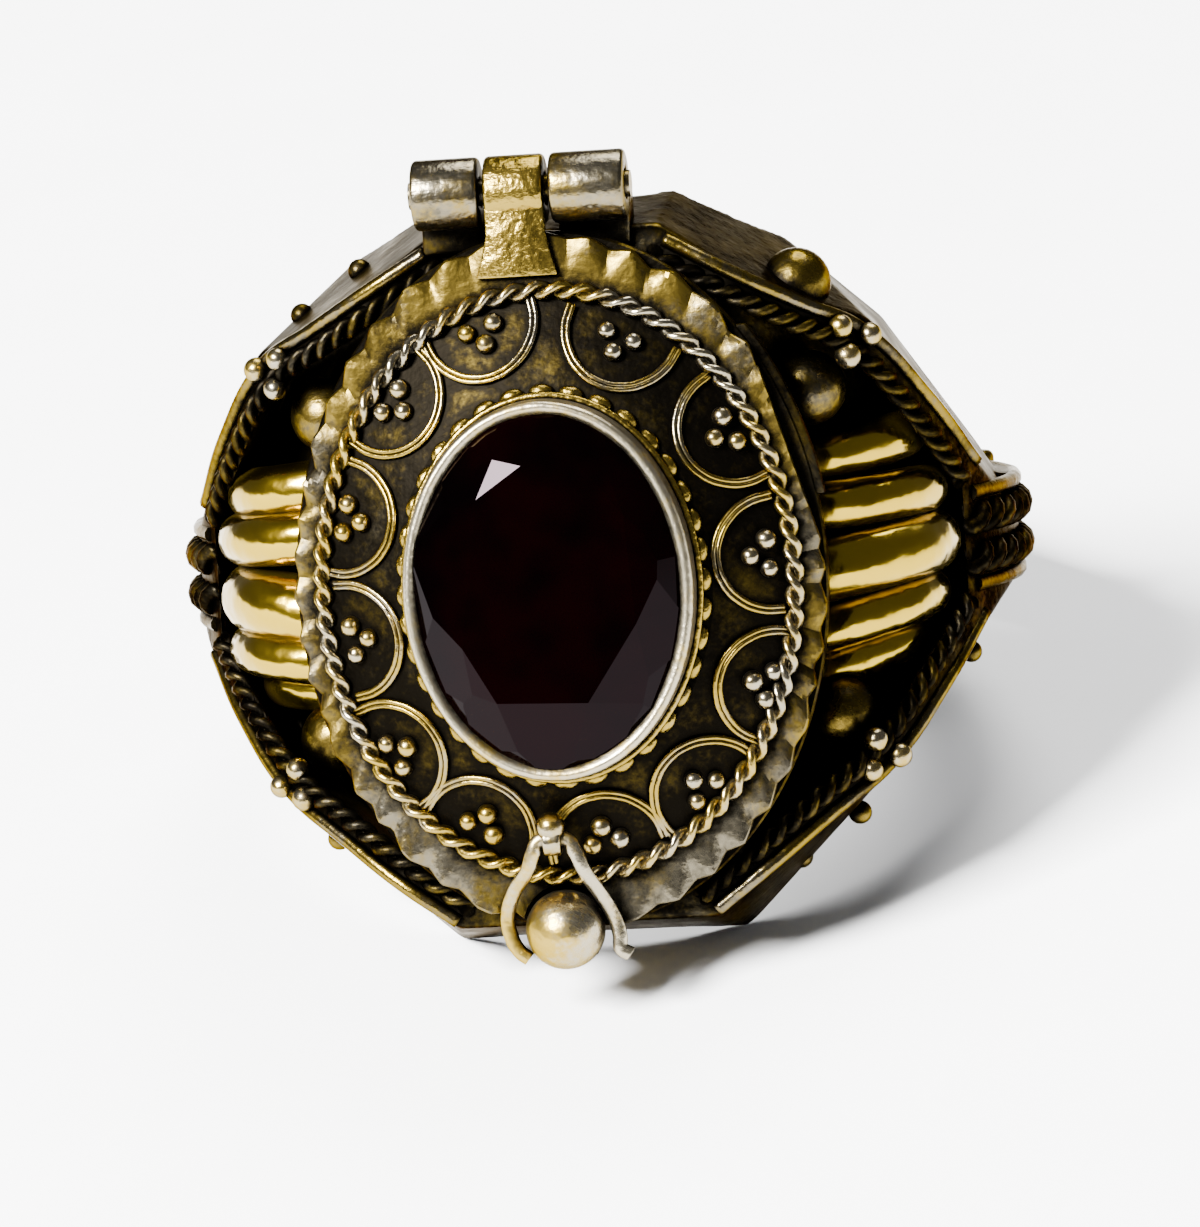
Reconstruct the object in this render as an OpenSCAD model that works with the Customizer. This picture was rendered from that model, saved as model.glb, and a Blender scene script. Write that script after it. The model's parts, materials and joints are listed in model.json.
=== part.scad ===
// Poison ring: a hinged oval lid set with a stone closes a shallow box on a wide tapered band.
// Lengths are millimetres and angles are degrees.
// The parts are drawn face up, with the finger hole along y and the lid's outside towards +z.
// The finished ring is then laid on its side, resting on the box's lower end and the back of the band.

/* [Band] */
// Diameter of the finger hole
finger_d = 18.2; // [18.0:0.1:18.4]
// Thickness of the band at the back
band_t = 1.2; // [1.1:0.05:1.3]
// Width of the band at the back
back_w = 4.8; // [4.6:0.1:5.0]
// Radius of the shoulders, seen along the finger hole
shoulder_r = 11.2; // [11.1:0.05:11.3]
// Height of the shoulders' centre above the finger hole's centre
shoulder_z = 2.1; // [2.0:0.05:2.2]
// Thickness of the metal under the gold domes
trough_t = 1.5; // [1.4:0.05:1.6]
// Radius of the plain edge wires
edge_wire_r = 0.2; // [0.18:0.01:0.22]
// Radius of the edge ropes
edge_rope_r = 0.26; // [0.24:0.01:0.28]
// Radius of the ropes round the back of the band
band_rope_r = 0.5; // [0.47:0.01:0.52]

/* [Box] */
// Thickness of the box's floor over the finger hole
floor_t = 0.8; // [0.75:0.05:0.85]
// Depth of the box
box_depth = 3.2; // [3.15:0.05:3.25]
// Half the width of the box, outside
box_a = 6.6; // [6.55:0.05:6.65]
// Half the length of the box, outside
box_b = 8.75; // [8.7:0.05:8.8]
// Thickness of the box's wall
box_t = 0.55; // [0.5:0.05:0.6]
// Radius of the four balls beside the gold domes
corner_ball_r = 0.85; // [0.8:0.05:0.9]
// Radius of the small bright beads on the rails
bead_r = 0.34; // [0.32:0.01:0.36]

/* [Gold domes] */
// Number of ribs on each dome
dome_ribs = 5; // [4:1:6]
// Reach of the dome's middle rib from its centre
dome_r = 3.25; // [3.15:0.05:3.3]
// Half the length of each dome along the finger
dome_half = 3.15; // [3.05:0.05:3.2]

/* [Lid] */
// Half the width of the lid
lid_a = 6.95; // [6.9:0.05:7.0]
// Half the length of the lid
lid_b = 9.1; // [9.05:0.05:9.15]
// Thickness of the lid's flange
flange_t = 0.45; // [0.4:0.05:0.5]
// Gap between the closed lid and the box's rim
lid_gap = 0.1; // [0.08:0.01:0.12]
// Number of crimps round the flange
crimps = 44; // [40:1:48]
// Radius of the rope round the lid
rope_r = 0.26; // [0.24:0.01:0.28]
// Rise of the sloping field from the rope to the stone's mount
field_rise = 1.0; // [0.95:0.05:1.05]
// Number of curled wires on the field
curls = 12; // [10:1:12]
// Radius of each curl
curl_r = 1.42; // [1.36:0.02:1.46]
// Radius of the curls' wire
curl_wire_r = 0.13; // [0.12:0.01:0.14]
// Radius of the granules inside the curls
granule_r = 0.24; // [0.22:0.01:0.25]
// Height of the wall that holds the stone
mount_h = 1.5; // [1.45:0.05:1.55]
// Number of leaf beads round the foot of that wall
collar_beads = 36; // [32:1:38]

/* [Stone] */
// Half the width of the stone
stone_a = 3.45; // [3.4:0.01:3.46]
// Half the length of the stone
stone_b = 4.58; // [4.52:0.01:4.6]
// Height of the table above the girdle
crown_h = 0.75; // [0.65:0.05:0.8]
// Depth below the girdle
pavilion_h = 1.95; // [1.8:0.05:2.0]
// Size of the table as a share of the stone
table_share = 0.66; // [0.62:0.01:0.68]

/* [Hinge and catch] */
// Radius of the hinge's knuckles
knuckle_r = 0.92; // [0.88:0.01:0.94]
// Radius of the hinge pin
pin_r = 0.35; // [0.32:0.01:0.38]
// Radial play of the pin in the lid's knuckle
pin_play = 0.05; // [0.04:0.01:0.07]
// Radius of the catch ball
catch_r = 1.04; // [1.01:0.01:1.06]
// Radius of the catch fork's wire
fork_wire_r = 0.18; // [0.17:0.01:0.19]

/* [Hidden] */
$fn = 48;
smooth = 96;
silver = [0.66, 0.64, 0.58];
gold = [0.86, 0.66, 0.24];
garnet = [0.16, 0.03, 0.05];

finger_r = finger_d / 2;
back_r = finger_r + band_t;
floor_z = finger_r + floor_t;
rim_z = floor_z + box_depth;
lid_z = rim_z + lid_gap;
flange_z = lid_z + flange_t;
trough_r = finger_r + trough_t;
dome_gap = 0.08;

// An oval is an ellipse written as half width and half length.
box_oval = [box_a, box_b];
box_inner = [box_a - box_t, box_b - box_t];
lid_oval = [lid_a, lid_b];
rope_oval = [6.15, 7.62];
mount_oval = [3.75, 4.9];
function grow(o, d) = [o[0] + d, o[1] + d];

// Point and outward angle at an even share of the way round an oval, moved outward by d.
function on_oval(o, d, share) = let (
        s = 360 * share,
        bulge = (o[1] * o[1] - o[0] * o[0]) / (4 * (o[0] * o[0] + o[1] * o[1])),
        t = s - bulge * sin(2 * s) * 180 / PI,
        out = atan2(o[0] * sin(t), o[1] * cos(t)))
    [o[0] * cos(t) + d * cos(out), o[1] * sin(t) + d * sin(out), out];

// Oval plate between two heights. Its upper edge can be drawn in by top_in.
module oval_plate(o, z0, z1, top_in = 0) {
    translate([0, 0, z0]) scale([o[0] / o[1], 1, 1])
        cylinder(r1 = o[1], r2 = o[1] - top_in, h = z1 - z0, $fn = smooth);
}
module oval_ring(o, z, r) {
    translate([0, 0, z]) scale([o[0] / o[1], 1, 1])
        rotate_extrude($fn = smooth) translate([o[1], 0]) circle(r, $fn = 24);
}

// Straight wire between two points.
module rod(p, q, r) {
    v = q - p;
    translate(p) rotate([0, acos(v[2] / norm(v)), atan2(v[1], v[0])]) cylinder(r = r, h = norm(v));
}

// Round wire through a list of points, with a slightly larger ball at each bend.
module wire(points, r) {
    for (i = [0 : len(points) - 2]) rod(points[i], points[i + 1], r);
    for (p = points) translate(p) sphere(r * 1.05);
}

// Cylinder across the ring, about a line along x at y and z.
module across(x0, x1, y, z, r) {
    translate([x0, y, z]) rotate([0, 90, 0]) cylinder(r = r, h = x1 - x0);
}

// Cylinder along the finger hole, through the whole ring.
module along_finger(r, z = 0) {
    translate([0, 0, z]) rotate([90, 0, 0]) cylinder(r = r, h = 24, center = true, $fn = smooth);
}

// Places of the hinge and the catch.
hinge_y = 10.2;
hinge_z = rim_z;
left_knuckle = [-3.2, -1.45];
lid_knuckle = [-1.3, 0.25];
right_knuckle = [0.4, 2.35];
catch_at = [-0.37, -9.0, flange_z + 0.3];
pivot_y = -6.55;
pivot_z = flange_z + 1.2;

// Wires round the back of the band, and the bars that they end in.
band_wire_r = edge_wire_r + 0.08;
band_wire_y = 1.85;
band_rope_y = 0.54;
bar_x = 9.67;
bar_z = -3.56;
bar_r = 0.6;

// Lays the ring on its side: the box's lower end and the back of the band touch the floor together.
foot_y = -9.85;
foot_z = 8.5;
heel_y = -back_w / 2;
lean = atan2(heel_y - foot_y, foot_z + back_r);
drop = -(foot_y * cos(lean) + foot_z * sin(lean));
front = catch_at[1] * sin(lean) - catch_at[2] * cos(lean) - catch_r;
rear = band_wire_y * sin(lean) + back_r * cos(lean) + band_wire_r;
module at_rest() {
    translate([0, -(front + rear) / 2, drop]) rotate([90 - lean, 0, 0]) children();
}

// Upper surface of the shoulders at a distance x from the middle: a round back, flat beside the box.
shoulder_top = 12.2;
function top_z(x) = min(shoulder_top, shoulder_z + sqrt(shoulder_r * shoulder_r - x * x));
function unit(v) = v / norm(v);
function on_top(p, lift) = [p[0], p[1], top_z(abs(p[0])) + lift];

// Plan of the rails on one side, from the box to the band, for the hinge end and the catch end.
hinge_end = [[3.2, 8.8], [4.9, 7.83], [6.5, 6.91], [8.0, 6.05], [9.5, 4.05], [10.5, 2.15]];
catch_end = [[3.5, -9.0], [4.9, -7.97], [6.5, -6.78], [8.1, -5.6], [9.5, -3.8], [10.5, -2.15]];
rail_knee = 3;

// Upper edges of the side panels on one side, with the angle by which each leans out.
panels = [
    [[3.45, 9.3], [8.2, 6.1], 11], [[7.9, 6.4], [8.5, 5.8], -2], [[8.2, 6.1], [10.45, 2.3], -2],
    [[3.75, -9.5], [8.1, -5.6], 13], [[7.8, -5.9], [8.4, -5.3], 0], [[8.1, -5.6], [10.45, -2.3], 0]];
panel_z = 9.9;
side_view = [[heel_y, -12], [-heel_y, -12], [-heel_y, -back_r], [3.3, 1.6], [7.7, 5.4],
    [9.85, 8.5], [9.64, shoulder_top], [-9.5, shoulder_top], [foot_y, foot_z],
    [-7.4, 5.4], [-3.3, 1.6], [heel_y, -back_r]];

// Cuts away all that lies outside a side panel.
module trim_panel(p, q, lean_out) {
    v = q - p;
    side = p[1] > 0 ? 1 : -1;
    translate([p[0], p[1], panel_z]) rotate([0, 0, atan2(v[1], v[0])]) rotate([side * lean_out, 0, 0])
        translate([-20, side > 0 ? 0 : -12, -30]) cube([40, 12, 50]);
}

module shoulder_block() {
    difference() {
        intersection() {
            union() {
                along_finger(back_r);
                along_finger(shoulder_r, shoulder_z);
            }
            rotate([90, 0, 90]) linear_extrude(height = 26, center = true) polygon(side_view);
        }
        for (side = [0, 1]) mirror([side, 0, 0]) for (p = panels) trim_panel(p[0], p[1], p[2]);
    }
}

// Hollow of one shoulder, between its side walls.
// Drawn smaller by an inset, it leaves room for the ropes at its outer corners.
trough_end_x = 10.1;
module trough(inset) {
    difference() {
        translate([0, 0, 4.6]) linear_extrude(height = 12)
            polygon([[4.4, 7.25 - inset], [7.75, 5.4 - inset], [9.1 - 3 * inset, 3.0 - 3 * inset],
                [trough_end_x - inset, 1.5 - 5 * inset], [trough_end_x - inset, 5 * inset - 1.5],
                [9.1 - 3 * inset, 3 * inset - 2.8], [7.65, inset - 4.95], [4.4, inset - 7.35]]);
        along_finger(trough_r + inset);
    }
}

// Plain wire, rope and beads along one rail.
module rail(line, toward) {
    apart = edge_wire_r + edge_rope_r + 0.05;
    wire([for (p = line) on_top([p[0] - 0.08, p[1] - toward * 0.12], 0.02)], edge_wire_r);
    wire([for (p = line) on_top([p[0] - 0.08 - apart * 0.6, p[1] - toward * (0.12 + apart * 0.8)], 0.06)],
        edge_rope_r);
    knee = line[rail_knee] - [0.25, toward * 0.35];
    for (p = [[-0.3, 0.36], [0.4, 0.08], [-0.16, -0.42]])
        translate(on_top(knee + [p[0], toward * p[1]], 0.24)) sphere(bead_r);
}

// One wire round the back of the band and one on each shoulder, ending in the bar between them.
module band_ring(y, r) {
    short = 1.2;
    shoulder_end = 17;
    rotate([90, 0, 0]) translate([0, 0, -y]) {
        start = atan2(-bar_z, bar_x) + short;
        rotate([0, 0, 180 + start]) rotate_extrude(angle = 180 - 2 * start) translate([back_r, 0]) circle(r);
        low = atan2(bar_z - shoulder_z, bar_x) + short;
        for (side = [0, 1]) mirror([side, 0, 0]) translate([0, shoulder_z, 0]) rotate([0, 0, low])
            rotate_extrude(angle = shoulder_end - low) translate([shoulder_r, 0]) circle(r);
    }
}

// Knuckle of the ring with the strap that joins it to the box, and the post under the catch ball.
strap_y = [8.3, 9.85];
strap_z = 11.2;
module ring_knuckle(k) {
    across(k[0], k[1], hinge_y, hinge_z, knuckle_r);
    translate([k[0] + 0.05, strap_y[0], strap_z])
        cube([k[1] - k[0] - 0.1, strap_y[1] - strap_y[0], rim_z - 0.02 - strap_z]);
}
module catch_post() {
    translate([catch_at[0], catch_at[1] - 0.05, 11]) cylinder(r = 0.55, h = catch_at[2] - 11);
}

// Balls beside the domes and on the side panels, on one side of the ring.
beside_dome = [[6.55, 4.3], [6.75, -4.2]];
on_panel = [[6.1, 7.25, 9.9], [6.1, -7.2, 9.9]];
panel_ball_r = 0.72;
module balls() {
    seat = trough_r + corner_ball_r - 0.25;
    for (p = beside_dome) translate([p[0], p[1], sqrt(seat * seat - p[0] * p[0])]) sphere(corner_ball_r);
    for (p = on_panel) translate(p) sphere(panel_ball_r);
}

// Rim of the box, as wide as the lid. One stretch of it stands out past the lid and ends in a square step.
step_y = [1.9, 6.4];
step_out = 0.2;
rim_t = 0.45;
module rim_flange() {
    oval_plate(lid_oval, rim_z - rim_t, rim_z);
    intersection() {
        oval_plate(grow(lid_oval, step_out), rim_z - rim_t + 0.05, rim_z - 0.05);
        translate([4, step_y[0], rim_z - 1]) cube([4, step_y[1] - step_y[0], 2]);
    }
}

module ring_body() {
    color(silver) at_rest() {
        difference() {
            union() {
                difference() {
                    shoulder_block();
                    trough(0);
                    mirror([1, 0, 0]) trough(0);
                }
                oval_plate(box_oval, 6.5, rim_z - 0.2);
                rim_flange();
                ring_knuckle(left_knuckle);
                ring_knuckle(right_knuckle);
                catch_post();
            }
            oval_plate(box_inner, floor_z, rim_z + 1);
            across(-10, 10, hinge_y, hinge_z, pin_r + 0.01);
            along_finger(finger_r);
        }
        translate(catch_at) sphere(catch_r);
        for (side = [0, 1]) mirror([side, 0, 0]) {
            rail(hinge_end, 1);
            rail(catch_end, -1);
            balls();
            translate([bar_x, 2.3, bar_z]) rotate([90, 0, 0]) cylinder(r = bar_r, h = 4.6);
        }
        for (side = [-1, 1]) {
            band_ring(side * band_rope_y, band_rope_r);
            band_ring(side * band_wire_y, band_wire_r);
        }
    }
}

// Gold dome: fat ribs side by side, cut to sit in the shoulder's hollow.
dome_x = 7.15;
dome_z = 6.95;
module gold_dome() {
    pitch = 2 * dome_half / dome_ribs;
    fat = pitch * 0.56;
    intersection() {
        union() for (i = [0 : dome_ribs - 1]) {
            y = -dome_half + pitch * (i + 0.5);
            reach = dome_r * sqrt(1 - pow(y / (dome_half + 0.75), 2));
            translate([dome_x, y, dome_z]) rotate([90, 0, 0]) {
                rotate_extrude() translate([reach - fat, 0]) circle(fat);
                cylinder(r = reach - fat, h = pitch + 0.1, center = true);
            }
        }
        difference() {
            trough(dome_gap);
            oval_plate(grow(box_oval, dome_gap), 0, 20);
        }
    }
}
module gold_dome_right() {
    color(gold) at_rest() gold_dome();
}
module gold_dome_left() {
    color(gold) at_rest() mirror([1, 0, 0]) gold_dome();
}

module hinge_pin() {
    ends = 0.12;
    color(silver) at_rest() across(left_knuckle[0] - ends, right_knuckle[1] + ends, hinge_y, hinge_z, pin_r);
}

// The lid's field is an oval cone: share 1 is the rope's line, field_in the flat round the stone's mount.
field_in = 0.67;
field_foot_z = flange_z + 0.05;
plateau_z = field_foot_z + field_rise;
lip_z = plateau_z + mount_h;
function field_share(p) = norm([p[0] / rope_oval[0], p[1] / rope_oval[1]]);
function field_z(p) = field_foot_z + field_rise * min(1, (1 - field_share(p)) / (1 - field_in));
function field_slope(p) = atan(field_rise / (1 - field_in) / field_share(p)
    * norm([p[0] / pow(rope_oval[0], 2), p[1] / pow(rope_oval[1], 2)]));

// Sheet of the lid with the stone's mount on top, hollow underneath.
// Its edge was filed straight between two points.
filed_edge = [[5.27, 6.1], [6.62, 1.5]];
module lid_shell() {
    sheet = 0.45;
    sunk = 0.15;
    wide = 1 + (1 - field_in) * sunk / field_rise;
    lip = 0.25;
    inside = 0.97;
    difference() {
        union() {
            oval_plate(lid_oval, lid_z, flange_z);
            oval_plate(rope_oval * wide, field_foot_z - sunk, plateau_z, rope_oval[1] * (wide - field_in));
            oval_plate(mount_oval, plateau_z - 0.3, lip_z - lip);
            oval_plate(mount_oval, lip_z - lip, lip_z, 0.12);
        }
        oval_plate(rope_oval * inside, lid_z - 1, field_foot_z - sheet + 0.03);
        oval_plate(rope_oval * inside, field_foot_z - sheet, plateau_z - sheet,
            rope_oval[1] * (inside - field_in));
        translate([catch_at[0], catch_at[1], lid_z - 1]) cylinder(r = catch_r + 0.12, h = 3);
        filed = filed_edge[1] - filed_edge[0];
        translate([filed_edge[0][0], filed_edge[0][1], lid_z - 1]) rotate([0, 0, atan2(filed[1], filed[0])])
            cube([6, 3, 3]);
    }
    oval_plate(grow(mount_oval, -0.1), lid_z + 0.15, plateau_z - 0.2);
}

// Pocket that the stone sits in, with a ledge under its girdle and a lip over it.
girdle_z = lip_z - 0.3;
module stone_pocket() {
    oval_plate(grow(mount_oval, -0.66), lid_z + 0.5, girdle_z);
    oval_plate(grow(mount_oval, -0.26), girdle_z - 0.2, girdle_z + 0.18);
    oval_plate(grow(mount_oval, -0.37), girdle_z, lip_z + 1);
}

module crimp_cuts() {
    for (i = [0 : crimps - 1]) {
        p = on_oval(lid_oval, 0, (i + 0.5) / crimps);
        translate([p[0], p[1], flange_z + 0.13]) rotate([0, 0, p[2]]) rotate([0, 5, 0]) rotate([45, 0, 0])
            translate([-0.5, -0.2, -0.2]) cube([1.2, 0.4, 0.4]);
    }
}

// Curled wire open towards the rope, with three granules inside it.
curl_start = 0.27;
curl_inset = 0.25;
module curl(share) {
    p = on_oval(rope_oval, -curl_inset, share);
    translate([p[0], p[1], field_z(p) + 0.05]) rotate([0, 0, p[2]]) rotate([0, field_slope(p), 0]) {
        rotate([0, 0, 100]) rotate_extrude(angle = 160) translate([curl_r, 0])
            circle(curl_wire_r, $fn = 24);
        for (q = [[-0.88, 0], [-0.45, 0.37], [-0.45, -0.37]])
            translate([q[0], q[1], 0.1]) sphere(granule_r, $fn = 24);
    }
}

// Beads and thin wire round the foot of the stone's mount.
module collar() {
    for (i = [0 : collar_beads - 1]) {
        p = on_oval(mount_oval, 0.14, i / collar_beads);
        translate([p[0], p[1], plateau_z + 0.06]) sphere(0.27, $fn = 24);
    }
    oval_ring(grow(mount_oval, 0.06), plateau_z + 0.42, 0.11);
}

// Lip under the lid that drops into the box, and the tongue between the lid and its knuckle.
module locating_lip() {
    difference() {
        oval_plate(grow(box_inner, -0.2), lid_z - 0.5, lid_z + 0.1);
        oval_plate(grow(box_inner, -0.55), lid_z - 1, lid_z + 1);
    }
}
module tongue() {
    k = lid_knuckle;
    translate([0, 0, flange_z - 0.05]) linear_extrude(height = 0.42)
        polygon([[k[0], hinge_y], [k[1], hinge_y], [k[1], 9.3], [k[1] + 0.5, 8.35], [k[1] + 0.35, 7.85],
            [k[0] - 0.35, 7.85], [k[0] - 0.5, 8.35], [k[0], 9.3]]);
}

// Small tube on the lid that the catch fork turns in, with a bead on it.
eye_x = [-0.68, -0.22];
module catch_eye() {
    difference() {
        union() {
            across(eye_x[0], eye_x[1], pivot_y, pivot_z, 0.4);
            translate([eye_x[0], pivot_y - 0.25, pivot_z - 0.9]) cube([eye_x[1] - eye_x[0], 0.5, 0.75]);
            translate([eye_x[0] + 0.18, pivot_y + 0.3, pivot_z + 0.12]) sphere(0.42);
        }
        across(-2, 2, pivot_y, pivot_z, fork_wire_r + 0.05);
    }
}

module lid() {
    color(silver) at_rest() {
        difference() {
            union() {
                lid_shell();
                locating_lip();
                across(lid_knuckle[0], lid_knuckle[1], hinge_y, hinge_z, knuckle_r);
                tongue();
            }
            stone_pocket();
            crimp_cuts();
            across(-10, 10, hinge_y, hinge_z, pin_r + pin_play);
        }
        oval_ring(rope_oval, flange_z + 0.19, rope_r);
        for (i = [0 : curls - 1]) curl((i + curl_start) / curls);
        collar();
        catch_eye();
    }
}

// Catch fork: one wire bent to a hairpin, drawn as a smooth curve through its bends.
fork_bends = [[-1.36, -9.72, 0.35], [-1.6, -9.52, 0.35], [-1.8, -9.1, 0.36], [-1.84, -8.55, 0.42],
    [-1.6, -7.9, 0.68], [-1.16, -7.3, 1.1], [-0.98, -6.85, 1.2], [-0.8, pivot_y, 1.2], [-0.45, pivot_y, 1.2],
    [-0.1, pivot_y, 1.2], [0.12, -6.8, 1.2], [0.4, -7.4, 1.1], [0.86, -8.1, 0.66], [1.1, -8.7, 0.4],
    [1.18, -9.2, 0.35], [1.17, -9.6, 0.34], [1.3, -9.82, 0.2]];
function bend_at(i) = fork_bends[max(0, min(len(fork_bends) - 1, i))];
function along(i, t) = 0.5 * (2 * bend_at(i) + (bend_at(i + 1) - bend_at(i - 1)) * t
    + (2 * bend_at(i - 1) - 5 * bend_at(i) + 4 * bend_at(i + 1) - bend_at(i + 2)) * t * t
    + (3 * bend_at(i) - bend_at(i - 1) - 3 * bend_at(i + 1) + bend_at(i + 2)) * t * t * t);
module catch_fork() {
    steps = 4;
    sides = 16;
    spans = len(fork_bends) - 1;
    path = [for (i = [0 : spans * steps]) along(floor(i / steps), i / steps - floor(i / steps))];
    last = len(path) - 1;
    points = [for (i = [0 : last]) let (
            way = unit(path[min(last, i + 1)] - path[max(0, i - 1)]),
            side = unit(cross(way, [0.02, 0.3, 1])),
            up = cross(side, way))
        for (j = [0 : sides - 1])
            path[i] + fork_wire_r * (side * cos(360 * j / sides) + up * sin(360 * j / sides))];
    function at(i, j) = i * sides + j % sides;
    faces = concat([[for (j = [0 : sides - 1]) j]],
        [for (i = [0 : last - 1]) for (j = [0 : sides - 1])
            [at(i, j), at(i + 1, j), at(i + 1, j + 1), at(i, j + 1)]],
        [[for (j = [sides - 1 : -1 : 0]) at(last, j)]]);
    color(silver) at_rest() translate([0, 0, flange_z]) polyhedron(points, faces);
}

// Oval stone: an eight-sided table with stars, kites and upper halves, and a pointed pavilion.
module stone() {
    knee_share = 0.8;
    knee_z = crown_h * (1 - knee_share * cos(22.5)) / (1 - table_share);
    girdle_t = 0.12;
    function ring(count, turn, share, z) =
        [for (i = [0 : count - 1]) let (t = turn + 360 * i / count)
            [stone_a * share * cos(t), stone_b * share * sin(t), z]];
    points = concat(ring(8, 22.5, table_share, crown_h), ring(8, 0, knee_share, knee_z),
        ring(16, 0, 1, 0), ring(16, 0, 1, -girdle_t), [[0, 0, -girdle_t - pavilion_h]]);
    faces = concat(
        [[7, 6, 5, 4, 3, 2, 1, 0]],
        [for (i = [0 : 7]) [(i + 7) % 8, i, 8 + i]],
        [for (i = [0 : 7]) [i, 8 + (i + 1) % 8, 17 + 2 * i, 8 + i]],
        [for (i = [0 : 7]) [8 + i, 17 + 2 * i, 16 + 2 * i]],
        [for (i = [0 : 7]) [8 + i, 16 + 2 * i, 16 + (2 * i + 15) % 16]],
        [for (i = [0 : 15]) [16 + i, 16 + (i + 1) % 16, 32 + (i + 1) % 16, 32 + i]],
        [for (i = [0 : 15]) [32 + i, 32 + (i + 1) % 16, 48]]);
    color(garnet) at_rest() translate([0, 0, girdle_z + 0.13]) polyhedron(points, faces);
}

ring_body();
gold_dome_left();
gold_dome_right();
hinge_pin();
lid();
stone();
catch_fork();
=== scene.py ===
import json
import math
import random

import bpy
from mathutils import Matrix, Vector


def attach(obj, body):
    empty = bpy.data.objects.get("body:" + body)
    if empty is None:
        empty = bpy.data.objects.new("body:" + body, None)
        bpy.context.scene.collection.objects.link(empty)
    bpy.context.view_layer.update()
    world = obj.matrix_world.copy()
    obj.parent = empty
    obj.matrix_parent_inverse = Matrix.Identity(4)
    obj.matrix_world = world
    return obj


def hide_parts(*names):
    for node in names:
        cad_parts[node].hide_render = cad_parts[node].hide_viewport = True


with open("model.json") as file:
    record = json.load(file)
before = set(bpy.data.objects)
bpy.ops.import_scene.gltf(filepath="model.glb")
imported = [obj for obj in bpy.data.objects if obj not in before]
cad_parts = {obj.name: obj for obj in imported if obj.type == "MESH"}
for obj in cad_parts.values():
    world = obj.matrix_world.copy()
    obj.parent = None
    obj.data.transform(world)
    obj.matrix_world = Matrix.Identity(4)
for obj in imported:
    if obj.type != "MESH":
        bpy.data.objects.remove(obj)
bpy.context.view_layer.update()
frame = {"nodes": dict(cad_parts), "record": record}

# The table and the light. The ring lies on its side on plain white card, lit from the upper left by a
# window and more weakly from the ceiling, with the room dim around it so that the metal has something dark
# to reflect.
hole = next(m for m in frame["record"]["mounts"] if m["name"] == "finger_hole")
along = Vector(hole["axis"])
lean = math.atan2(along.y, along.z)
upright = Matrix.Rotation(math.pi / 2 - lean, 4, "X")
laid = Matrix.Translation(hole["pos_m"]) @ upright @ Matrix.Scale(0.001, 4)


def only(*things):
    bpy.ops.object.select_all(action="DESELECT")
    for thing in things:
        thing.select_set(True)
    bpy.context.view_layer.objects.active = things[0]
    return things[0]


class Value:
    """A socket's output that does maths, and adds the nodes that feed on it."""

    def __init__(self, tree, socket):
        self.tree, self.socket = tree, socket

    def node(self, kind, sockets=None, out=0, **settings):
        new = self.tree.nodes.new("ShaderNode" + kind)
        for key, value in settings.items():
            setattr(new, key, value)
        for key, value in (sockets or {}).items():
            if isinstance(value, Value):
                self.tree.links.new(value.socket, new.inputs[key])
            else:
                new.inputs[key].default_value = value
        return Value(self.tree, new.outputs[out])

    def maths(self, operation, a, b):
        return self.node("Math", {0: a, 1: b}, operation=operation)

    def __add__(self, other):
        return self.maths("ADD", self, other)

    __radd__ = __add__

    def __sub__(self, other):
        return self.maths("SUBTRACT", self, other)

    def __rsub__(self, other):
        return self.maths("SUBTRACT", other, self)

    def __mul__(self, other):
        return self.maths("MULTIPLY", self, other)

    __rmul__ = __mul__

    def between(self, low, high):
        return self.node("MapRange", {"Value": self, "From Min": low, "From Max": high},
                         interpolation_type="SMOOTHSTEP")

    def noise(self, size_mm, detail=2.0, rough=0.5, shift=0.0):
        moved = self.node("VectorMath", {0: self, 1: (shift, shift, shift)}, operation="ADD")
        return self.node("TexNoise", {"Vector": moved, "Scale": 1000.0 / size_mm, "Detail": detail,
                                      "Roughness": rough})

    def mix(self, a, b):
        return self.node("Mix", {0: self, 6: a, 7: b}, out=2, data_type="RGBA", clamp_factor=True)

    def bump(self, depth_mm):
        return self.node("Bump", {"Height": self, "Distance": depth_mm / 1000.0, "Strength": 1.0})


def finish(name, **constants):
    made = bpy.data.materials.new(name)
    made.use_nodes = True
    shader = made.node_tree.nodes["Principled BSDF"]
    for key, value in constants.items():
        shader.inputs[key.replace("_", " ")].default_value = value
    place = made.node_tree.nodes.new("ShaderNodeTexCoord")
    return made, Value(made.node_tree, place.outputs["Object"]), shader


def feed(shader, **links):
    for key, value in links.items():
        value.tree.links.new(value.socket, shader.inputs[key.replace("_", " ")])


bpy.ops.mesh.primitive_plane_add(size=2.0, location=(0, 0, 0))
table = bpy.context.object
table.name = "table"
card, at, shader = finish("white card", Specular_IOR_Level=0.2)
paper = at.noise(6.0, 3).between(0.3, 0.7)
feed(shader, Base_Color=paper.mix((0.86, 0.86, 0.855, 1), (0.88, 0.88, 0.88, 1)),
     Roughness=at.noise(0.5).between(0.2, 0.8) * 0.1 + 0.7)
table.data.materials.append(card)

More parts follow.
